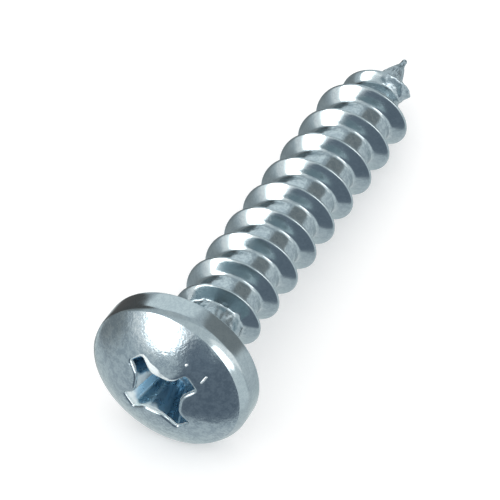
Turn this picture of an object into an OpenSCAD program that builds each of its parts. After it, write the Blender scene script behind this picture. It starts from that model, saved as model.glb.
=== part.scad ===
// Pan head tapping screw for sheet metal: cross recess, full thread and gimlet point.
// The screw is drawn along +Z with its bearing face at Z = 0 and its point up. It is
// then laid down as it comes to rest, on the rim of the head and the crest of the thread.

/* [Head] */
// Diameter of the head
head_d = 8.9; // [8:0.1:11]
// Height of the head, from the bearing face to the top of the dome
head_h = 3.1; // [2.7:0.05:3.6]
// Height of the straight side of the head
head_side_h = 1.14; // [0.6:0.02:1.6]
// Radius that rounds the side into the dome
head_edge_r = 0.64; // [0.2:0.02:0.9]
// Radius that rounds the rim of the bearing face
bearing_edge_r = 0.12; // [0.04:0.02:0.3]
// Radius of the hollow between the bearing face and the shank
neck_fillet_r = 0.9; // [0.6:0.05:1.2]

/* [Cross recess] */
// Distance across two opposite wings, where they meet the dome
recess_span = 4.6; // [3.8:0.1:5.4]
// Width of a wing where it meets the dome
wing_w = 0.94; // [0.7:0.02:1.1]
// Distance across the slanted corners between the wings
recess_core_w = 2.5; // [1.9:0.05:3]
// Depth of the cross below the top of the dome
recess_depth = 2.45; // [1.6:0.05:2.6]
// Height of the shallow cone at the bottom of the cross
recess_cone_h = 0.2; // [0.05:0.05:0.3]
// Angle by which the outer ends of the wings lean inwards
wing_end_draft = 26.5; // [15:0.5:30]
// Angle by which the sides of the wings lean inwards
wing_side_draft = 4; // [1:0.5:6]
// Angle by which the slanted corners lean inwards
recess_core_draft = 14; // [6:0.5:18]
// Turn of the cross about the screw, from the side that lies downwards
recess_turn = -36.7; // [-45:0.1:45]

/* [Thread] */
// Length of the screw, from the bearing face to the tip
screw_length = 25.4; // [16:0.5:38]
// Diameter over the crests
thread_d = 4.82; // [4.6:0.02:5]
// Diameter at the root, between the ridges
root_d = 3.26; // [3:0.02:3.6]
// Distance from crest to crest, at 12 threads to the inch
pitch = 2.117; // [1.6:0.001:2.3]
// Width of the blunt crest
crest_w = 0.12; // [0.06:0.01:0.2]
// Length of each flank along the screw
flank_w = 0.44; // [0.34:0.01:0.5]
// Where the ridge begins to rise, in turns of the helix from the bearing face
thread_start = 0.87; // [0.7:0.01:1.5]
// Turns over which the ridge rises to its full height
thread_rise = 0.9; // [0.4:0.05:1.5]
// Where the crest passes the side that lies downwards, in turns of the helix
thread_phase = 0.1215; // [0:0.0005:1]

/* [Point] */
// Length over which the crest runs down to the tip
crest_taper = 4.64; // [3:0.02:6]
// How full the crest stays on its way to the tip, where 1 is a straight taper
crest_fullness = 1.25; // [1:0.05:1.6]
// Length over which the root runs down to the tip
root_taper = 4.2; // [3:0.05:5]
// Diameter of the blunt tip
tip_d = 0.32; // [0.2:0.02:0.5]

/* [Hidden] */
$fn = 96;
head_r = head_d / 2;
thread_r = thread_d / 2;
tip_r = tip_d / 2;

// Dome: the circle through the top of the head that meets the edge rounding smoothly
edge_x = head_r - head_edge_r;
dome_rise = head_h - head_side_h;
dome_r = (edge_x ^ 2 + dome_rise ^ 2 - head_edge_r ^ 2) / (2 * (dome_rise - head_edge_r));
dome_centre_h = head_h - dome_r;
function dome_h(x) = dome_centre_h + sqrt(dome_r ^ 2 - x ^ 2);

// Neck: the hollow is a circle that dips this far below the bearing face, and runs
// into the shank this far below its surface, so that both meetings are clean edges
neck_dip = 0.02;
neck_bite = 0.12;
neck_x = root_d / 2 - neck_bite + neck_fillet_r;
neck_h = neck_fillet_r - neck_dip;

// Recess: heights above the bearing face, and how far the cut stands out of the dome
mouth_h = dome_h(recess_span / 2);
recess_floor_h = head_h - recess_depth;
cut_out = 0.6;
cut_top_h = head_h + cut_out;

// Thread: steps in one turn of the helix, and how far the shank reaches into the head
turn_steps = 40;
shank_root_depth = 0.3;

// Cross section of the ridge along the screw, from its head side to its tip side.
// The foot is blended: it leaves the root before the flank's line would reach it.
foot_blend = 0.12;
foot_x = crest_w / 2 + flank_w * (1 + foot_blend);
flank_x = crest_w / 2 + flank_w * (1 - foot_blend);
ridge_x = [-foot_x, -flank_x, -crest_w / 2, crest_w / 2, flank_x, foot_x];
ridge_h = [0, foot_blend, 1, 1, foot_blend, 0];
rows = len(ridge_x);

// The helix is counted in turns from the bearing face, and starts and ends on a step
tip_ring_z = screw_length - tip_r;
last_turn_limit = (tip_ring_z - foot_x - tip_r) / pitch;
start_turn = thread_phase + floor((thread_start - thread_phase) * turn_steps) / turn_steps;
steps = floor((last_turn_limit - start_turn) * turn_steps);
end_turn = start_turn + steps / turn_steps;
thread_fall = 0.25;

function unit(t) = max(0, min(1, t));
function smooth(t) = t * t * (3 - 2 * t);
function root_r(z) = tip_r + (root_d / 2 - tip_r) * unit((tip_ring_z - z) / root_taper);
function crest_r(z) = thread_r * (1 - (1 - unit((screw_length - z) / crest_taper)) ^ crest_fullness);
function full_height(z) = max(0, crest_r(z) - root_r(z));
function ridge_rise(turn) = smooth(unit((turn - thread_start) / thread_rise));
function ridge_fall(turn) = unit((end_turn - turn) / thread_fall);
function ridge_r(turn, z, part) = root_r(z) + full_height(z) * ridge_rise(turn) * ridge_fall(turn) * part;
function ring_point(angle, r, z) = [r * cos(angle), r * sin(angle), z];

// Point of the helix at one step and one row of the ridge
function turn_at(step) = start_turn + step / turn_steps;
function angle_at(step) = 360 * (turn_at(step) - thread_phase);
function ridge_point(step, row) =
    let (turn = turn_at(step), z = turn * pitch + ridge_x[row])
    ring_point(angle_at(step), ridge_r(turn, z, ridge_h[row]), z);

// Lying: angle of the line that touches the rounded rim and one crest on the lower side
function touch_angle(z, r) =
    let (along = z + bearing_edge_r, across = r - head_r + bearing_edge_r)
    asin(bearing_edge_r / norm([along, across])) - atan2(across, along);
crest_turns = [for (turn = [thread_phase + ceil(start_turn - thread_phase) : end_turn]) turn];
crest_touches = [
    for (turn = crest_turns)
        let (z = turn * pitch + crest_w / 2)
        touch_angle(z, ridge_r(turn, z, 1))
];
rest_tilt = min(concat(crest_touches, [touch_angle(screw_length, 0)]));
rest_lift = (head_r - bearing_edge_r) * cos(rest_tilt) + bearing_edge_r * (1 - sin(rest_tilt));
dome_reach = dome_r + dome_centre_h * cos(rest_tilt);
rest_shift = (screw_length * cos(rest_tilt) - dome_reach) / 2;

// Outline of the head and neck, as a half section with the dome up
module head_outline() {
    square([head_r - bearing_edge_r, head_side_h]);
    translate([0, bearing_edge_r])
        square([head_r, head_side_h - bearing_edge_r]);
    translate([head_r - bearing_edge_r, bearing_edge_r])
        circle(bearing_edge_r);
    translate([edge_x, head_side_h])
        circle(head_edge_r);
    dome_outline();
    neck_outline();
}

// The dome, out to the line on which the edge rounding takes over
module dome_outline() {
    beyond = 1.2 * dome_r / (dome_r - head_edge_r);
    edge_line_end = [edge_x * beyond, dome_centre_h + (head_side_h - dome_centre_h) * beyond];
    intersection() {
        translate([0, dome_centre_h])
            circle(dome_r);
        polygon([
            [0, head_side_h / 2],
            [edge_x, head_side_h / 2],
            [edge_x, head_side_h],
            edge_line_end,
            [0, head_h + dome_rise]
        ]);
    }
}

module neck_outline() {
    difference() {
        translate([0, -neck_h])
            square([neck_x - neck_bite, neck_h + head_side_h / 2]);
        translate([neck_x, -neck_h])
            circle(neck_fillet_r);
    }
}

module head() {
    mirror([0, 0, 1])
        rotate_extrude()
            head_outline();
}

// A straight bar across the head whose two faces lean inwards with depth
module drafted_bar(mouth_w, draft, reach) {
    function half_w(h) = mouth_w / 2 + (h - mouth_h) * tan(draft);
    rotate([90, 0, 0])
        linear_extrude(2 * reach, center = true)
            polygon([
                [-half_w(cut_top_h), cut_top_h],
                [half_w(cut_top_h), cut_top_h],
                [half_w(recess_floor_h), recess_floor_h],
                [-half_w(recess_floor_h), recess_floor_h]
            ]);
}

module wing_pair() {
    intersection() {
        drafted_bar(recess_span, wing_end_draft, recess_span);
        rotate([0, 0, 90])
            drafted_bar(wing_w, wing_side_draft, recess_span);
    }
}

module recess_core() {
    rotate([0, 0, 45])
        intersection() {
            drafted_bar(recess_core_w, recess_core_draft, recess_core_w);
            rotate([0, 0, 90])
                drafted_bar(recess_core_w, recess_core_draft, recess_core_w);
        }
}

module recess() {
    mirror([0, 0, 1])
        rotate([0, 0, recess_turn]) {
            wing_pair();
            rotate([0, 0, 90])
                wing_pair();
            recess_core();
            translate([0, 0, recess_floor_h - recess_cone_h])
                cylinder(h = 2 * recess_cone_h, r1 = 0, r2 = wing_w);
        }
}

// The shank, its ridge and its point as one closed skin. The rows of the ridge wind up
// the helix, a level ring closes each end, and the root fills the space between turns.
module threaded_shank() {
    last = turn_steps - 1;
    low_ring = 0;
    ridge = turn_steps;
    high_ring = ridge + rows * (steps + 1);
    apex = high_ring + turn_steps;
    top_row = rows - 1;
    final_turn = steps - turn_steps;
    function at(step, row) = ridge + step * rows + row;
    points = concat(
        [for (step = [0 : last]) ring_point(angle_at(step), root_r(0), -shank_root_depth)],
        [for (step = [0 : steps], row = [0 : top_row]) ridge_point(step, row)],
        [for (step = [0 : last]) ring_point(angle_at(final_turn + step), tip_r, tip_ring_z)],
        [[0, 0, screw_length]]
    );
    function patch(a, b, c, d) = [[a, b, c], [a, c, d]];
    ridge_faces = [
        for (step = [0 : steps - 1], row = [0 : top_row - 1])
            each patch(at(step, row), at(step, row + 1), at(step + 1, row + 1), at(step + 1, row))
    ];
    root_faces = [
        for (step = [0 : final_turn - 1], above = step + turn_steps)
            each patch(at(step, top_row), at(above, 0), at(above + 1, 0), at(step + 1, top_row))
    ];
    neck_faces = [
        for (step = [0 : last - 1])
            each patch(low_ring + step, at(step, 0), at(step + 1, 0), low_ring + step + 1)
    ];
    // The facet on which the helix starts is cut off by a column of ridge points
    start_column = concat([at(turn_steps, 0)], [for (row = [top_row : -1 : 0]) at(0, row)], [low_ring]);
    start_faces = concat(
        [[low_ring + last, at(last, 0), start_column[0]]],
        [for (i = [0 : rows]) [low_ring + last, start_column[i], start_column[i + 1]]]
    );
    tip_faces = [
        for (step = [1 : last], below = final_turn + step, next = high_ring + (step + 1) % turn_steps)
            each patch(at(below, top_row), high_ring + step, next, at(below + 1, top_row))
    ];
    end_column = concat(
        [at(final_turn, top_row)],
        [for (row = [0 : top_row]) at(steps, row)],
        [high_ring, high_ring + 1]
    );
    end_faces = [
        for (i = [0 : rows + 1])
            [at(final_turn + 1, top_row), end_column[i], end_column[i + 1]]
    ];
    point_faces = [
        for (step = [0 : last])
            [high_ring + step, apex, high_ring + (step + 1) % turn_steps]
    ];
    floor_face = [[for (step = [0 : last]) low_ring + step]];
    polyhedron(points, concat(ridge_faces, root_faces, neck_faces, start_faces,
        tip_faces, end_faces, point_faces, floor_face));
}

module upright_screw() {
    difference() {
        union() {
            head();
            threaded_shank();
        }
        recess();
    }
}

module screw() {
    color([0.74, 0.78, 0.8])
        translate([-rest_shift, 0, rest_lift])
            rotate([0, 90 + rest_tilt, 0])
                upright_screw();
}

screw();
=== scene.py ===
# %% [markdown]
# Sheet metal screw
# This lesson builds one pan head tapping screw, about 28 mm long, with bright zinc
# plating. A real one is forged and rolled from one piece of wire, so here too it is one
# closed mesh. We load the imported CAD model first, because it says where the screw lies.

# %% The frame
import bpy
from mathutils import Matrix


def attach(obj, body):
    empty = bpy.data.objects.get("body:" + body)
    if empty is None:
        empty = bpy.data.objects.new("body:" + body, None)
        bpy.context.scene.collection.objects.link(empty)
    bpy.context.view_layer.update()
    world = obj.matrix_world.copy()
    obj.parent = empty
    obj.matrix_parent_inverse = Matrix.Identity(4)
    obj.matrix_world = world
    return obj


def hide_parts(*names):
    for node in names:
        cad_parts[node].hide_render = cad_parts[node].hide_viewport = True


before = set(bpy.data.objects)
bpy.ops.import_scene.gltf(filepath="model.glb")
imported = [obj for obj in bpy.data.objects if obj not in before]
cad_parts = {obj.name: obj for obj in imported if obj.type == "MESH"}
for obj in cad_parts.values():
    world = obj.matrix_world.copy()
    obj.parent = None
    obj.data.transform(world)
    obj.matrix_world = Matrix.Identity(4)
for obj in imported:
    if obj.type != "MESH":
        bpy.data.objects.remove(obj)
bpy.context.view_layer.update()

# %% [markdown]
# Tools and units
# The screw is modelled standing on its head's bearing face, in millimetres, with its
# point up the Z axis: that is how a maker's drawing shows it, and round shapes are then
# easy to spin. At the end it is laid down and turned into metres in one move.

# %% Imports
import math

import bmesh
import bpy
from mathutils import Matrix, Vector, noise

MM = 0.001

# %% [markdown]
# Sizes
# These are the sizes of the real screw in millimetres, the same as in the solid model.
# A number 10 screw has a thread 4.8 mm wide, with 12 turns to the inch.

# %% Sizes of the thread and the point
SCREW_LENGTH = 25.4
PITCH = 2.117
THREAD_R = 2.41
ROOT_R = 1.63
THREAD_PHASE = 0.1215
THREAD_START = 0.87
THREAD_RISE = 0.9
THREAD_END = 11.5715
THREAD_FALL = 0.25
FIN_TURN = 10.84
DENT_DEPTH = 0.07
DENTS_PER_MM = 2.4
CREST_TAPER = 4.64
CREST_FULLNESS = 1.25
ROOT_TAPER = 4.2
TIP_R = 0.16
TIP_RING_Z = SCREW_LENGTH - TIP_R

# %% [markdown]
# The thread: one turn
# The real thread is rolled: two dies press a groove into the wire, and the metal that
# they push aside rises as a ridge with a blunt crest. We draw the ridge once, as a short
# chain of points from the middle of one groove to the middle of the next. Each point has
# its place along the screw and its share of the ridge's height. Spin turns the chain
# about the axis and lifts it a little at each step, so one turn climbs exactly one pitch.

# %% Cross section of the ridge
STEPS = 192
HALF_RIDGE = [
    (0.0, 1.0), (0.035, 0.995), (0.06, 0.972), (0.085, 0.93), (0.12, 0.862),
    (0.19, 0.705), (0.28, 0.5), (0.37, 0.297), (0.43, 0.168), (0.47, 0.097),
    (0.51, 0.046), (0.56, 0.014), (0.63, 0.0), (0.84, 0.0), (PITCH / 2, 0.0),
]
ridge_sides = [(-x, share) for x, share in reversed(HALF_RIDGE[1:])] + HALF_RIDGE
print("points across one pitch:", len(ridge_sides))

# %% Spin one turn of the thread
screw_mesh = bmesh.new()
place_of = screw_mesh.verts.layers.int.new("place")
cross_of = screw_mesh.verts.layers.float.new("in_cross")
# Layer for the recess rim and wall tops that are whitened: part wear, part painted highlight
rim_wear_and_highlight_of = screw_mesh.verts.layers.float.new("rim_wear_and_highlight")
even_of = screw_mesh.verts.layers.float.new("even_skin")
rough_of = screw_mesh.verts.layers.float.new("pinched")
first_turn_z = (THREAD_PHASE - 1) * PITCH
chain = []
for x, share in ridge_sides:
    radius = ROOT_R + (THREAD_R - ROOT_R) * share
    chain.append(screw_mesh.verts.new((radius, 0, first_turn_z + x)))
links = [screw_mesh.edges.new(pair) for pair in zip(chain, chain[1:])]
bmesh.ops.spin(
    screw_mesh, geom=chain + links, cent=(0, 0, 0), axis=(0, 0, 1),
    dvec=(0, 0, PITCH / STEPS), angle=2 * math.pi, steps=STEPS,
    use_merge=False, use_duplicate=False)
print("faces in one turn:", len(screw_mesh.faces))

# %% [markdown]
# The thread: all turns
# Every turn is the same before the point tapers it, so copies of the first turn, each
# one pitch higher, make the rest. Their edges meet exactly, and merging the doubled
# points joins them into one skin. Two flat cuts then take off what is too much: one
# under the head, where the neck begins, and one at the point.

# %% Copy, join and cut the turns
NECK_TOP_Z = 1.0
POINT_CUT_Z = SCREW_LENGTH - 0.62
turns = math.ceil(SCREW_LENGTH / PITCH) + 2
one_turn = screw_mesh.verts[:] + screw_mesh.edges[:] + screw_mesh.faces[:]
for turn in range(1, turns):
    copied = bmesh.ops.duplicate(screw_mesh, geom=one_turn)["geom"]
    copied_points = [part for part in copied if isinstance(part, bmesh.types.BMVert)]
    bmesh.ops.translate(screw_mesh, vec=(0, 0, turn * PITCH), verts=copied_points)
bmesh.ops.remove_doubles(screw_mesh, verts=screw_mesh.verts, dist=1e-4)


def cut_flat(mesh, height, keep_above):
    """Cuts the mesh at a height, drops one side and returns the edges of the cut."""
    everything = mesh.verts[:] + mesh.edges[:] + mesh.faces[:]
    done = bmesh.ops.bisect_plane(
        mesh, geom=everything, dist=1e-5, plane_co=(0, 0, height), plane_no=(0, 0, 1),
        clear_inner=keep_above, clear_outer=not keep_above)
    return [part for part in done["geom_cut"] if isinstance(part, bmesh.types.BMEdge)]


neck_ring = cut_flat(screw_mesh, NECK_TOP_Z, keep_above=True)
point_ring = cut_flat(screw_mesh, POINT_CUT_Z, keep_above=False)
print("edges round the cuts:", len(neck_ring), len(point_ring))

# %% [markdown]
# The thread: its height
# The ridge rises slowly out of the shank below the head and sinks into the gimlet point,
# and the shank itself runs down to the point. So each vertex keeps its angle and its
# place along the screw, and only its distance from the axis is set anew.

# %% How wide the root and the crest are


def unit(value):
    return max(0.0, min(1.0, value))


def smooth(value):
    return value * value * (3 - 2 * value)


def root_radius(z):
    return TIP_R + (ROOT_R - TIP_R) * unit((TIP_RING_Z - z) / ROOT_TAPER)


def crest_radius(z):
    gone = 1 - unit((SCREW_LENGTH - z) / CREST_TAPER)
    return THREAD_R * (1 - gone ** CREST_FULLNESS)


# %% Set the height of the ridge
for point in screw_mesh.verts:
    across = math.hypot(point.co.x, point.co.y)
    share = (across - ROOT_R) / (THREAD_R - ROOT_R)
    part_turn = (math.atan2(point.co.y, point.co.x) / (2 * math.pi)) % 1
    z = point.co.z
    whole_turns = round(z / PITCH - THREAD_PHASE - part_turn)
    turn = THREAD_PHASE + part_turn + whole_turns
    rise = smooth(unit((turn - THREAD_START) / THREAD_RISE))
    fall = smooth(unit((THREAD_END - turn) / THREAD_FALL))
    past_fin = smooth(unit((turn - FIN_TURN) / 0.07))
    fin = (1 + 0.32 * smooth(unit((turn - FIN_TURN + 0.3) / 0.28))) * (1 - 0.6 * past_fin)
    height = max(0, crest_radius(z) - root_radius(z)) * rise * fall * fin * share
    near_point = smooth(unit((turn - FIN_TURN + 0.28) / 0.18))
    near_head = 0.8 * smooth(unit((4.4 - z) / 0.8)) * (1 - 0.9 * unit(3 * share))
    point[rough_of] = max(near_point, near_head)
    point[even_of] = (0.55 + 0.4 * unit(6 * share)) * rise * (1 - near_point)
    dent = DENT_DEPTH * point[rough_of] * abs(noise.noise(point.co * DENTS_PER_MM))
    radius = root_radius(z) + height - dent
    point.co.x *= radius / across
    point.co.y *= radius / across
print("vertices in the thread:", len(screw_mesh.verts))

# %% [markdown]
# The point
# The rolling dies pinch the wire off at the point. What is left is a small blunt nib,
# a little bent to one side. Extruding the open ring step by step, with each new ring
# moved and shrunk, makes such a tapering nib without counting a single face.

# %% Extrude the nib
NIB_LEAN = Vector((-0.165, -0.08))
NIB_RINGS = [(0.46, 0.215), (0.34, 0.165), (0.22, 0.15), (0.13, 0.145), (0.07, 0.12),
             (0.035, 0.07), (0.025, 0.02)]


def new_points(extruded):
    return [part for part in extruded["geom"] if isinstance(part, bmesh.types.BMVert)]


def new_edges(extruded):
    return [part for part in extruded["geom"] if isinstance(part, bmesh.types.BMEdge)]


start_radius = root_radius(POINT_CUT_Z)
ring = point_ring
for to_tip, radius in NIB_RINGS:
    extruded = bmesh.ops.extrude_edge_only(screw_mesh, edges=ring)
    for point in new_points(extruded):
        point[rough_of] = 1.0
        angle = math.atan2(point.co.y, point.co.x)
        point.co.z = SCREW_LENGTH - to_tip
        point.co.x = radius * math.cos(angle)
        point.co.y = radius * math.sin(angle)
    ring = new_edges(extruded)
bmesh.ops.holes_fill(screw_mesh, edges=ring, sides=0)
for point in screw_mesh.verts:
    lean = smooth(unit((point.co.z - POINT_CUT_Z) / 0.6))
    point.co.x += NIB_LEAN.x * lean
    point.co.y += NIB_LEAN.y * lean
print("radius where the nib begins, in mm:", round(start_radius, 3))

# %% [markdown]
# The head
# The pan head is forged by a punch that also presses in the cross recess. We make it
# from the bottom of the recess outwards as one chain of rings: the floor, the leaning
# walls, the rounded rim, the dome, the edge, the side, the bearing face and the neck.
# Each ring is the last one extruded, and a small function says where its points go.

# %% Sizes of the head and the recess
HEAD_R = 4.448
HEAD_H = 3.1
HEAD_SIDE_H = 1.14
HEAD_EDGE_R = 0.64
BEARING_EDGE_R = 0.12
NECK_FILLET_R = 0.7
EDGE_X = HEAD_R - HEAD_EDGE_R
DOME_RISE = HEAD_H - HEAD_SIDE_H
DOME_R = (EDGE_X ** 2 + DOME_RISE ** 2 - HEAD_EDGE_R ** 2) / (2 * (DOME_RISE - HEAD_EDGE_R))
DOME_CENTRE_H = HEAD_H - DOME_R
DOME_EDGE_R = 4.30

# The dome ends in a small crease, and the side above the bearing face is barrel shaped
CREASE_ROUND = 0.12
CREASE_TURN = math.asin(DOME_EDGE_R / DOME_R)
CREASE_R = DOME_EDGE_R - CREASE_ROUND * math.sin(CREASE_TURN)
CREASE_H = DOME_CENTRE_H + (DOME_R - CREASE_ROUND) * math.cos(CREASE_TURN)
RIM_BAND_START = 58
band_turn = math.radians(RIM_BAND_START)
BAND_ROUND = (HEAD_R - CREASE_R - CREASE_ROUND * math.sin(band_turn)) / (1 - math.sin(band_turn))
BAND_X = HEAD_R - BAND_ROUND
BAND_H = CREASE_H + (CREASE_ROUND - BAND_ROUND) * math.cos(band_turn)
print("the barrel side is widest at height, in mm:", round(BAND_H, 3), "radius", round(BAND_ROUND, 3))

# The punch that shapes the dome sat a little off the middle, so the crease is not quite
# even, and on one side it almost reaches the side of the head
PUNCH_SHIFT = Vector((-0.074, 0.182, 0))
CREASE_MARGIN = 0.04

WING_LENGTH = 2.3
WING_HALF_W = 0.45
CORNER_DISTANCE = 1.23
MOUTH_H = 2.70
FLOOR_H = 0.65
FLOOR_CONE_H = 0.2
FLOOR_CONE_R = 0.3
RECESS_TURN = math.radians(-36.7)
RIM_R = 0.2
CORNER_BEND_R = 0.8
print("radius of the dome, in mm:", round(DOME_R, 3))


def dome_height(across):
    return DOME_CENTRE_H + math.sqrt(DOME_R ** 2 - across ** 2)


# %% [markdown]
# The outline of the recess
# Seen from above, the recess is a cross of four wings with slanted corners between them.
# One eighth of that outline is enough, since the rest is turned or mirrored from it: half
# the end of a wing, its side, and half of a slanted corner. Real corners are never sharp,
# so both corners of the eighth are arcs.

# %% One point of the outline
SLANT = math.pi / 4
EIGHTH_STEPS = STEPS // 8
END_STEPS = 4
END_ARC_STEPS = 5
SIDE_STEPS = 6
CORNER_ARC_STEPS = 5


def eighth_point(step, length, half_w, corner, end_r, corner_r):
    """A point on one eighth of the cross, from the wing's end to the slanted corner."""
    end_r = min(end_r, half_w * 0.9)
    side_start = length - end_r
    tangent = corner_r * math.tan(SLANT / 2)
    bend_x = corner * math.sqrt(2) - half_w
    side_end = min(bend_x + tangent, side_start - 0.02)
    if step < END_STEPS:
        return Vector((length, (half_w - end_r) * step / END_STEPS))
    step -= END_STEPS
    if step <= END_ARC_STEPS:
        turn = math.pi / 2 * step / END_ARC_STEPS
        return Vector((side_start + end_r * math.cos(turn),
                       half_w - end_r + end_r * math.sin(turn)))
    step -= END_ARC_STEPS
    if step < SIDE_STEPS:
        return Vector((side_start + (side_end - side_start) * step / SIDE_STEPS, half_w))
    step -= SIDE_STEPS
    arc_centre = Vector((side_end, half_w + corner_r))
    if step <= CORNER_ARC_STEPS:
        turn = -math.pi / 2 - SLANT * step / CORNER_ARC_STEPS
        return arc_centre + corner_r * Vector((math.cos(turn), math.sin(turn)))
    step -= CORNER_ARC_STEPS
    slant_steps = EIGHTH_STEPS - END_STEPS - END_ARC_STEPS - SIDE_STEPS - CORNER_ARC_STEPS
    turn = -math.pi / 2 - SLANT
    slant_start = arc_centre + corner_r * Vector((math.cos(turn), math.sin(turn)))
    middle = Vector((1, 1)) * ((slant_start.x + slant_start.y) / 2)
    return slant_start.lerp(middle, step / slant_steps)


def cross_point(place, length, half_w, corner, end_r, corner_r):
    """The point of the whole cross at one of the STEPS places round it."""
    quarter, step = divmod(place, 2 * EIGHTH_STEPS)
    mirrored = step > EIGHTH_STEPS
    if mirrored:
        step = 2 * EIGHTH_STEPS - step
    spot = eighth_point(step, length, half_w, corner, end_r, corner_r)
    if mirrored:
        spot = Vector((spot.y, spot.x))
    for _ in range(quarter):
        spot = Vector((-spot.y, spot.x))
    return spot


def wall_point(place, height, out):
    """The wall of the recess at a height, moved outwards by a small distance."""
    above = height - MOUTH_H
    return cross_point(
        place,
        WING_LENGTH + above * math.tan(math.radians(26.5)) + out,
        WING_HALF_W + above * math.tan(math.radians(4)) + out,
        CORNER_DISTANCE + above * math.tan(math.radians(14)) + out,
        0.13 + out, CORNER_BEND_R - out)


# %% [markdown]
# Rings of the head
# A ring is a rule that turns a place round the screw into a point. Heights are measured
# upwards from the bearing face here, as on a drawing of the head. The mesh has its point
# up, so each height is taken down from zero when the ring is set.

# %% Rules for the rings


def circle_point(place, radius, height):
    angle = 2 * math.pi * place / STEPS
    return Vector((radius * math.cos(angle), radius * math.sin(angle), height))


def recess_ring(share):
    """Ring on the wall: share 0 is at the floor and 1 is where the rim's rounding starts."""
    def rule(place):
        spot = wall_point(place, MOUTH_H, 0)
        for _ in range(3):
            top = dome_height(spot.length) - RIM_R
            height = FLOOR_H + (top - FLOOR_H) * share
            spot = wall_point(place, height, 0)
        return Vector((spot.x, spot.y, height))
    return rule


def rim_ring(turn):
    """Ring on the rounded rim, from 0 at the wall to a right angle at the dome."""
    def rule(place):
        start = recess_ring(1.0)(place)
        out = RIM_R * (1 - math.cos(turn))
        spot = wall_point(place, start.z, out)
        return Vector((spot.x, spot.y, dome_height(spot.length) - RIM_R * (1 - math.sin(turn))))
    return rule


def shifted_point(place, radius, share):
    """A point of a circle that follows the punch by a share, but stays inside the head."""
    spot = circle_point(place, radius, 0) + PUNCH_SHIFT * share
    widest = HEAD_R - CREASE_MARGIN * share
    return spot * min(1, widest / spot.length)


def dome_ring(share):
    """Ring on the dome, from the rim of the recess out to the edge of the head."""
    def rule(place):
        inner = rim_ring(math.pi / 2)(place)
        outer = shifted_point(place, DOME_EDGE_R, 1)
        spot = Vector((inner.x, inner.y)).lerp(Vector((outer.x, outer.y)), share)
        return Vector((spot.x, spot.y, dome_height(spot.length)))
    return rule


def round_ring(radius, height, share=0.0):
    """A round ring. With a share above 0 it follows the punch and the dome's height."""
    def rule(place):
        spot = shifted_point(place, radius, share)
        edge = shifted_point(place, DOME_EDGE_R, 1)
        spot.z = height + share * (dome_height(edge.length) - dome_height(DOME_EDGE_R))
        return spot
    return rule


# %% All the rings, from the floor of the recess to the neck
rings = [round_ring(FLOOR_CONE_R, FLOOR_H - 0.06)]


def floor_ring(share, height):
    def rule(place):
        spot = recess_ring(0.0)(place)
        return Vector((spot.x * share, spot.y * share, height))
    return rule


rings.append(floor_ring(0.75, FLOOR_H - 0.02))
rings.append(floor_ring(0.93, FLOOR_H))
for share in (0.03, 0.1, 0.3, 0.5, 0.7, 0.85, 0.95):
    rings.append(recess_ring(share))
WALL_RINGS = len(rings)
for degrees in range(0, 91, 15):
    rings.append(rim_ring(math.radians(degrees)))
for step in range(1, 15):
    rings.append(dome_ring((step / 14) ** 1.2))
CREASE_RING = len(rings)
for degrees in (44, 49, 54, RIM_BAND_START):
    turn = math.radians(degrees)
    rings.append(round_ring(CREASE_R + CREASE_ROUND * math.sin(turn),
                            CREASE_H + CREASE_ROUND * math.cos(turn), 1.0))
for step in range(1, 9):
    turn = math.radians(RIM_BAND_START + (90 - RIM_BAND_START) * step / 8)
    rings.append(round_ring(BAND_X + BAND_ROUND * math.sin(turn),
                            BAND_H + BAND_ROUND * math.cos(turn), (1 - step / 8) ** 2))
SIDE_LEAN = 0.025
side_h = BAND_H - BEARING_EDGE_R
for step in range(1, 7):
    share = step / 6
    rings.append(round_ring(HEAD_R - SIDE_LEAN * share ** 2, BAND_H - side_h * share))
face_r = HEAD_R - SIDE_LEAN - BEARING_EDGE_R
for degrees in (22, 45, 68, 90):
    turn = math.radians(degrees)
    rings.append(round_ring(face_r + BEARING_EDGE_R * math.cos(turn),
                            BEARING_EDGE_R * (1 - math.sin(turn))))
BEARING_RING = len(rings)
neck_centre = ROOT_R + NECK_FILLET_R
rings.append(round_ring((face_r + neck_centre) / 2, 0))
for degrees in range(0, 91, 15):
    turn = math.radians(degrees)
    rings.append(round_ring(neck_centre - NECK_FILLET_R * math.sin(turn),
                            NECK_FILLET_R * (math.cos(turn) - 1)))
rings.append(round_ring(ROOT_R, -0.85))
print("rings in the head:", len(rings))

# %% Where the recess is whitened: driver wear and a painted highlight
# Directions round the head where the recess walls and rim are whitened most, as wear and as a painted
# highlight
WEAR_AND_HIGHLIGHT_WALL = math.radians(128)
WEAR_AND_HIGHLIGHT_CORNER = math.radians(212)
WING_END = math.radians(166)


def wear_and_highlight_share(number, place):
    """From 0 to 1, driver wear and painted highlight: the tops of the walls on one side, the rim all round,
    one corner most.
    """
    angle = 2 * math.pi * place / STEPS
    step = number - WALL_RINGS
    if step < 0:
        facing = math.cos(angle - WEAR_AND_HIGHLIGHT_WALL)
        most = smooth(unit(4 * facing - 3))
        at_end = smooth(unit(10 * math.cos(angle - WING_END) - 9))
        return max(0.0, 1 + (0.22 - 0.14 * most + 0.6 * at_end) * step) * unit(0.4 + facing) * (1 + 0.4 * most)
    reach = 2.5 + 6.5 * unit(4 * math.cos(angle - WEAR_AND_HIGHLIGHT_CORNER) - 3)
    return unit(reach - step)


# %% [markdown]
# Build the head
# A small disc starts the floor of the recess. Its outer ring is extruded once for each
# rule, and a number on each vertex remembers its place round the screw, so a rule can
# put it where it belongs. The cross is turned a little, as the photograph shows it.

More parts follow.
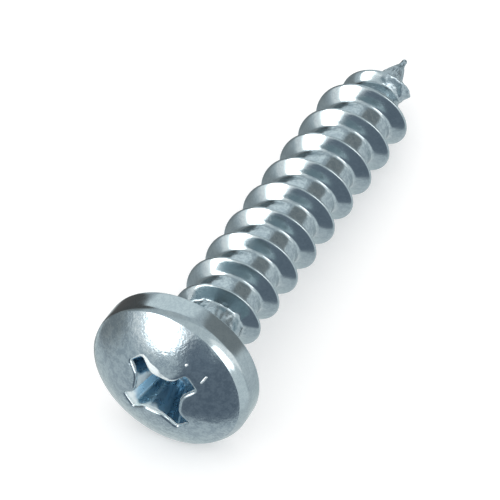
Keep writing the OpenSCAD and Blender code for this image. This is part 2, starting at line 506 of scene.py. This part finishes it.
# %% Extrude the rings
disc = bmesh.ops.create_circle(
    screw_mesh, cap_ends=True, cap_tris=True, segments=STEPS, radius=0.12)["verts"]
for point in disc:
    point[place_of] = round(math.atan2(point.co.y, point.co.x) / (2 * math.pi) * STEPS) % STEPS
    is_centre = point.co.xy.length < 0.06
    point.co.z = -(FLOOR_H - FLOOR_CONE_H + (0 if is_centre else 0.05))
disc_edges = {edge for point in disc for edge in point.link_edges}
ring = [edge for edge in disc_edges if len(edge.link_faces) == 1]
head_points = list(disc)
for point in disc:
    point[cross_of] = 1.0
    point[even_of] = 1.0
for number, rule in enumerate(rings):
    extruded = bmesh.ops.extrude_edge_only(screw_mesh, edges=ring)
    for point in new_points(extruded):
        spot = rule(point[place_of])
        point.co = (spot.x, spot.y, -spot.z)
        point[cross_of] = 1.0 if number < WALL_RINGS else 0.0
        point[rim_wear_and_highlight_of] = wear_and_highlight_share(number, point[place_of])
        point[even_of] = 1.0 if number < WALL_RINGS or CREASE_RING < number < BEARING_RING else 0.0
        point[rough_of] = 0.8 if number > BEARING_RING + 4 else 0.0
    head_points += new_points(extruded)
    ring = new_edges(extruded)
bmesh.ops.rotate(screw_mesh, cent=(0, 0, 0), verts=head_points,
                 matrix=Matrix.Rotation(RECESS_TURN, 3, "Z"))
print("edges in the last ring of the neck:", len(ring))

# %% [markdown]
# Join the head and the thread
# The neck ends in a ring, and so does the thread, at the same radius. Bridging the two
# rings closes the skin. After that the doubled points are merged and the normals are
# recalculated, because spin and extrude can leave a shape inside out.

# %% Bridge, merge and check
bmesh.ops.bridge_loops(screw_mesh, edges=ring + neck_ring)
bmesh.ops.remove_doubles(screw_mesh, verts=screw_mesh.verts, dist=1e-5)
bmesh.ops.recalc_face_normals(screw_mesh, faces=screw_mesh.faces)
open_edges = [edge for edge in screw_mesh.edges if len(edge.link_faces) != 2]
print("open edges:", len(open_edges), "volume in cubic mm:", round(screw_mesh.calc_volume(), 2))

# %% [markdown]
# Lay the screw down
# A screw can't stand on its domed head. It rolls over and comes to rest on the rim of
# the head and on two crests near the point, so the point dips by 6 degrees. The turn
# and the lift below are the ones that the solid model works out from the sizes.

# %% Lie at rest, in metres
REST_TILT = math.radians(5.97718)
REST_PLACE = Vector((-11.070902, 0, 4.413964))
lying = Matrix.Translation(REST_PLACE) @ Matrix.Rotation(math.pi / 2 + REST_TILT, 4, "Y")
bmesh.ops.transform(screw_mesh, matrix=Matrix.Scale(MM, 4) @ lying, verts=screw_mesh.verts)
for face in screw_mesh.faces:
    face.smooth = True
screw_data = bpy.data.meshes.new("zinc_screw")
screw_mesh.to_mesh(screw_data)
screw_mesh.free()
zinc_screw = bpy.data.objects.new("zinc_screw", screw_data)
bpy.context.collection.objects.link(zinc_screw)
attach(zinc_screw, "root")
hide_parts("screw")
print("faces:", len(screw_data.polygons))

# %% [markdown]
# Bright zinc plating
# The plating is a thin layer of zinc under a faintly blue passivation. Close up it is
# never even: grains of zinc make it mottled, barrel plating leaves small knocks, and the
# blue film is deepest in the cross, where the liquid stays. We build that from noise of
# several sizes, which steers the colour, the roughness and a very shallow bump. The rim
# and wall tops of the cross are mixed towards white: partly wear, partly a painted highlight.

# %% Helpers for nodes


def add_node(tree, kind, sockets=None, **settings):
    """Adds a node, sets its properties and fills or links its inputs by name or number."""
    node = tree.nodes.new(kind)
    for name, value in settings.items():
        setattr(node, name, value)
    for name, value in (sockets or {}).items():
        if isinstance(value, bpy.types.NodeSocket):
            tree.links.new(value, node.inputs[name])
        else:
            node.inputs[name].default_value = value
    return node


def math_node(tree, operation, first, second=0.0, clamp=False):
    node = add_node(tree, "ShaderNodeMath", {0: first, 1: second}, operation=operation)
    node.use_clamp = clamp
    return node.outputs[0]


def ramp(tree, value, low, high, to_low=0.0, to_high=1.0):
    node = add_node(tree, "ShaderNodeMapRange", {
        "Value": value, "From Min": low, "From Max": high,
        "To Min": to_low, "To Max": to_high}, interpolation_type="SMOOTHSTEP")
    return node.outputs["Result"]


def mix_colour(tree, share, first, second):
    node = add_node(tree, "ShaderNodeMix", data_type="RGBA")
    for name, value in (("Factor_Float", share), ("A_Color", first), ("B_Color", second)):
        socket = next(item for item in node.inputs if item.identifier == name)
        if isinstance(value, bpy.types.NodeSocket):
            tree.links.new(value, socket)
        else:
            socket.default_value = value
    return next(item for item in node.outputs if item.identifier == "Result_Color")


# %% The zinc material
zinc = bpy.data.materials.new("bright_zinc")
zinc.use_nodes = True
nodes = zinc.node_tree
shader = nodes.nodes["Principled BSDF"]
place = add_node(nodes, "ShaderNodeTexCoord").outputs["Object"]


def grain(scale, detail=2.0, rough=0.5):
    return add_node(nodes, "ShaderNodeTexNoise", {
        "Vector": place, "Scale": scale, "Detail": detail, "Roughness": rough}).outputs["Fac"]


fine_grain = grain(8000, 3.0, 0.6)
mottle = grain(2600, 2.0, 0.55)
cloud = grain(500, 2.0)
ZINC_LIGHT = (0.43, 0.53, 0.57, 1)
ZINC_DARK = (0.31, 0.40, 0.45, 1)
ZINC_EVEN = (0.39, 0.48, 0.51, 1)
ZINC_BLUE = (0.28, 0.43, 0.53, 1)
# White for the painted highlight and wear on the recess rim, walls and nicks
WEAR_AND_HIGHLIGHT_WHITE = (0.88, 0.97, 0.98, 1)
speckle = math_node(nodes, "ADD", math_node(nodes, "MULTIPLY", mottle, 0.5),
                    math_node(nodes, "MULTIPLY", fine_grain, 0.5))
colour = mix_colour(nodes, ramp(nodes, speckle, 0.41, 0.59), ZINC_DARK, ZINC_LIGHT)
even_skin = add_node(nodes, "ShaderNodeAttribute", attribute_name="even_skin").outputs["Fac"]
colour = mix_colour(nodes, math_node(nodes, "MULTIPLY", even_skin, 0.6), colour, ZINC_EVEN)
in_cross = add_node(nodes, "ShaderNodeAttribute", attribute_name="in_cross").outputs["Fac"]
colour = mix_colour(nodes, in_cross, colour, ZINC_BLUE)
rim_wear_and_highlight = add_node(nodes, "ShaderNodeAttribute", attribute_name="rim_wear_and_highlight").outputs["Fac"]
# Painted highlight, partly wear: the rim and wall tops of the cross turn white and less metallic
wear_and_highlight = math_node(nodes, "ADD", rim_wear_and_highlight, math_node(nodes, "MULTIPLY", grain(1400, 1.0), 1.6))
wear_and_highlight = math_node(nodes, "MULTIPLY", ramp(nodes, wear_and_highlight, 1.2, 1.7), ramp(nodes, rim_wear_and_highlight, 0.0, 0.1))


def nick(start, end, half_wide):
    """1 on a short scratch between two points of the dome in millimetres, else 0."""
    start, end = Vector(start) * MM, Vector(end) * MM
    way = end - start
    along = add_node(nodes, "ShaderNodeVectorMath", {0: place, 1: start}, operation="SUBTRACT").outputs[0]
    part = add_node(nodes, "ShaderNodeVectorMath", {0: along, 1: way / way.length_squared},
                    operation="DOT_PRODUCT").outputs["Value"]
    part = math_node(nodes, "MULTIPLY", part, 1.0, clamp=True)
    nearest = add_node(nodes, "ShaderNodeVectorMath", {0: tuple(way), "Scale": part},
                       operation="SCALE").outputs[0]
    away = add_node(nodes, "ShaderNodeVectorMath", {0: along, 1: nearest},
                    operation="DISTANCE").outputs["Value"]
    return ramp(nodes, away, half_wide * MM, half_wide * MM * 0.3)


# Two nicks on the dome: a real bump, and also whitened as a painted glint
nicks_and_glints = math_node(nodes, "MAXIMUM", nick((-13.41, -2.34, 6.17), (-13.20, -2.54, 6.48), 0.07),
                  nick((-13.32, -1.47, 7.01), (-13.30, -1.52, 7.05), 0.08))
wear_and_highlight = math_node(nodes, "MAXIMUM", wear_and_highlight, math_node(nodes, "MULTIPLY", nicks_and_glints, 0.7))
# Painted highlight: the rim, wall tops and nicks are mixed towards white here
colour = mix_colour(nodes, wear_and_highlight, colour, WEAR_AND_HIGHLIGHT_WHITE)
nodes.links.new(colour, shader.inputs["Base Color"])
even = ramp(nodes, speckle, 0.35, 0.65, 0.19, 0.11)
even = math_node(nodes, "ADD", even, math_node(nodes, "MULTIPLY", in_cross, 0.15))
pinched = add_node(nodes, "ShaderNodeAttribute", attribute_name="pinched").outputs["Fac"]
even = math_node(nodes, "ADD", even, math_node(nodes, "MULTIPLY", pinched, 0.12))
nodes.links.new(math_node(nodes, "ADD", even, math_node(nodes, "MULTIPLY", wear_and_highlight, 0.25)),
                shader.inputs["Roughness"])
# Less metallic where the painted highlight and wear whiten the zinc
wear_and_highlight_metallic = math_node(nodes, "SUBTRACT", 1.0, math_node(nodes, "MULTIPLY", wear_and_highlight, 0.45))
nodes.links.new(wear_and_highlight_metallic, shader.inputs["Metallic"])
unevenness = math_node(nodes, "SUBTRACT", 1.0, math_node(nodes, "MULTIPLY", even_skin, 0.9))
waves = add_node(nodes, "ShaderNodeBump", {"Height": cloud, "Strength": 1.0, "Distance": 0.00004})
blotches = add_node(nodes, "ShaderNodeBump", {
    "Height": mottle, "Strength": unevenness, "Distance": 0.000010, "Normal": waves.outputs[0]})
grains = add_node(nodes, "ShaderNodeBump", {
    "Height": fine_grain, "Strength": unevenness, "Distance": 0.0000065, "Normal": blotches.outputs[0]})
torn = add_node(nodes, "ShaderNodeBump", {
    "Height": grain(1400, 1.0), "Strength": pinched, "Distance": 0.00026, "Normal": grains.outputs[0]})
scratches = add_node(nodes, "ShaderNodeBump", {
    "Height": nicks_and_glints, "Strength": 0.6, "Distance": 0.00003, "Normal": torn.outputs[0]})
nodes.links.new(scratches.outputs[0], shader.inputs["Normal"])
screw_data.materials.append(zinc)

# %% [markdown]
# The floor and the background
# The photograph has a plain white background. Here the screw lies on a plain white floor
# that keeps its soft shadow. The world is white where the camera or a reflection sees it.

# %% White floor
floor_mesh = bmesh.new()
bmesh.ops.create_grid(floor_mesh, x_segments=1, y_segments=1, size=1.2)
floor_data = bpy.data.meshes.new("floor")
floor_mesh.to_mesh(floor_data)
floor_mesh.free()
floor = bpy.data.objects.new("floor", floor_data)
bpy.context.collection.objects.link(floor)
floor.visible_glossy = False
white = bpy.data.materials.new("floor_white")
white.use_nodes = True
floor_nodes = white.node_tree
floor_shader = floor_nodes.nodes["Principled BSDF"]
floor_shader.inputs["Base Color"].default_value = (0.9, 0.9, 0.9, 1)
floor_shader.inputs["Roughness"].default_value = 1.0
floor_shader.inputs["Specular IOR Level"].default_value = 0.0
floor_shader.inputs["Emission Color"].default_value = (1, 1, 1, 1)


def seen_by_camera_or_shine(tree):
    """1 for rays from the camera, from a shiny surface or through glass, else 0."""
    path = add_node(tree, "ShaderNodeLightPath").outputs
    seen = math_node(tree, "MAXIMUM", path["Is Camera Ray"], path["Is Glossy Ray"])
    return math_node(tree, "MAXIMUM", seen, path["Is Transmission Ray"])


floor_lift = math_node(floor_nodes, "MULTIPLY", seen_by_camera_or_shine(floor_nodes), 0.28)
floor_nodes.links.new(floor_lift, floor_shader.inputs["Emission Strength"])
floor_data.materials.append(white)

# %% White world
world = bpy.data.worlds.new("studio")
bpy.context.scene.world = world
world.use_nodes = True
sky = world.node_tree.nodes["Background"]
sky.inputs["Color"].default_value = (1, 1, 1, 1)
sky.inputs["Strength"].default_value = 1.0

# %% [markdown]
# The light tent
# Bright metal shows what stands round it, so its look is mostly the look of the studio.
# Small shiny goods are photographed in a light tent: grey cloth all round, two soft
# windows of light, and a dark slot for the lens. We make the tent from a half sphere that
# only reflections see. Its cloth glows evenly, and soft patches make it lighter or darker.

# %% Directions as the camera has them
CAMERA_ANGLES = [math.radians(angle) for angle in (41.306, 2.725, -63.026)]
camera_turn = Matrix.Rotation(CAMERA_ANGLES[2], 3, "Z") @ Matrix.Rotation(CAMERA_ANGLES[1], 3, "Y")
camera_turn = camera_turn @ Matrix.Rotation(CAMERA_ANGLES[0], 3, "X")


def beside_camera(off_axis, clock):
    """Unit vector so many degrees away from the camera, at a clock angle seen from the
    screw's side of the picture: 0 is to the right in the picture and 90 is up."""
    off, turn = math.radians(off_axis), math.radians(clock)
    local = Vector((math.sin(off) * math.cos(turn), math.sin(off) * math.sin(turn), math.cos(off)))
    return camera_turn @ local


# %% Cloth of the tent with soft patches
tent_mesh = bmesh.new()
bmesh.ops.create_uvsphere(tent_mesh, u_segments=48, v_segments=24, radius=0.9)
tent_data = bpy.data.meshes.new("light_tent")
tent_mesh.to_mesh(tent_data)
tent_mesh.free()
tent = bpy.data.objects.new("light_tent", tent_data)
bpy.context.collection.objects.link(tent)
for ray in ("camera", "diffuse", "transmission", "volume_scatter", "shadow"):
    setattr(tent, "visible_" + ray, False)

cloth = bpy.data.materials.new("tent_cloth")
cloth.use_nodes = True
tent_nodes = cloth.node_tree
tent_nodes.nodes.clear()
tent_place = add_node(tent_nodes, "ShaderNodeTexCoord").outputs["Object"]
towards = add_node(tent_nodes, "ShaderNodeVectorMath", {0: tent_place}, operation="NORMALIZE").outputs[0]


def patch(off_axis, clock, half_long, half_wide, tilt, edge):
    """1 inside a soft rounded patch of the tent and 0 outside, in degrees."""
    centre = beside_camera(off_axis, clock)
    right = camera_turn @ Vector((math.cos(math.radians(tilt)), math.sin(math.radians(tilt)), 0))
    long_way = (right - centre * right.dot(centre)).normalized()
    wide_way = centre.cross(long_way)
    parts = []
    for way, half in ((long_way, half_long), (wide_way, half_wide)):
        along = add_node(tent_nodes, "ShaderNodeVectorMath", {0: towards, 1: way},
                         operation="DOT_PRODUCT").outputs["Value"]
        parts.append(math_node(tent_nodes, "POWER", math_node(
            tent_nodes, "ABSOLUTE", math_node(
                tent_nodes, "DIVIDE", along, math.sin(math.radians(half)))), 3.0))
    distance = math_node(tent_nodes, "ADD", parts[0], parts[1])
    front = add_node(tent_nodes, "ShaderNodeVectorMath", {0: towards, 1: centre},
                     operation="DOT_PRODUCT").outputs["Value"]
    inside = ramp(tent_nodes, distance, 1 + edge, 1 - edge * 0.5)
    return math_node(tent_nodes, "MULTIPLY", inside, ramp(tent_nodes, front, 0.0, 0.1))


def lay_patch(cloth_colour, share, level, tint=(1, 1, 1)):
    """Mixes a patch over the cloth so far, with its own level and tint."""
    return mix_colour(tent_nodes, share, cloth_colour, [level * part for part in tint] + [1])


COOL = (0.86, 0.98, 1.17)
WARM = (1.08, 1.0, 0.97)
PLAIN = (1.0, 1.0, 1.0)
behind = add_node(tent_nodes, "ShaderNodeVectorMath", {
    0: towards, 1: beside_camera(0, 0)}, operation="DOT_PRODUCT").outputs["Value"]
glowing = mix_colour(tent_nodes, ramp(tent_nodes, behind, -0.5, -0.95),
                     (0.70, 0.72, 0.74, 1), (0.72, 0.77, 0.77, 1))
glowing = lay_patch(glowing, patch(37, 27, 70, 22, 6, 0.9), 0.92, PLAIN)
glowing = lay_patch(glowing, patch(107, 157, 25, 35, -22, 0.9), 0.38, PLAIN)
glowing = lay_patch(glowing, patch(124, 128, 39, 11, 122, 0.9), 0.12, WARM)
glowing = lay_patch(glowing, patch(90, 37, 22, 26, 39, 0.6), 0.34, PLAIN)
glowing = lay_patch(glowing, patch(98, 91, 22, 23, 90, 0.25), 1.14, PLAIN)
glowing = lay_patch(glowing, patch(125, 305, 27, 18, -22, 0.9), 0.86, PLAIN)
glowing = lay_patch(glowing, patch(71, 264, 34, 25, 84, 0.2), 0.25, COOL)
glowing = lay_patch(glowing, patch(40, 247, 16, 13, 106, 0.4), 0.27, COOL)
glowing = lay_patch(glowing, patch(48, 188, 27, 20, 12, 0.9), 1.25, WARM)
glowing = lay_patch(glowing, patch(46, 181, 26, 15, 84, 0.4), 5.0, WARM)
glowing = lay_patch(glowing, patch(50, 354, 32, 17, 0, 0.7), 1.45, WARM)
glowing = lay_patch(glowing, patch(37, 325, 17, 8, -40, 0.5), 4.0, WARM)
glowing = lay_patch(glowing, patch(56, 106, 17, 13, 56, 0.9), 0.75, PLAIN)
glowing = lay_patch(glowing, patch(80, 318, 20, 26, -16, 0.8), 1.0, PLAIN)
glow = add_node(tent_nodes, "ShaderNodeEmission", {"Color": glowing, "Strength": 1.0})
add_node(tent_nodes, "ShaderNodeOutputMaterial", {"Surface": glow.outputs[0]})
tent_data.materials.append(cloth)

# %% [markdown]
# The camera
# The photograph looks steeply down on the screw from the side of its head.

# %% Camera
camera_data = bpy.data.cameras.new("camera")
camera_data.sensor_width = 36
camera_data.lens = 706.14
camera_data.clip_end = 5
camera = bpy.data.objects.new("camera", camera_data)
camera.location = Vector((-292.92, -167.59, 384.67)) * MM
camera.rotation_euler = CAMERA_ANGLES
bpy.context.collection.objects.link(camera)
bpy.context.scene.camera = camera
bpy.context.scene.view_settings.view_transform = "Standard"
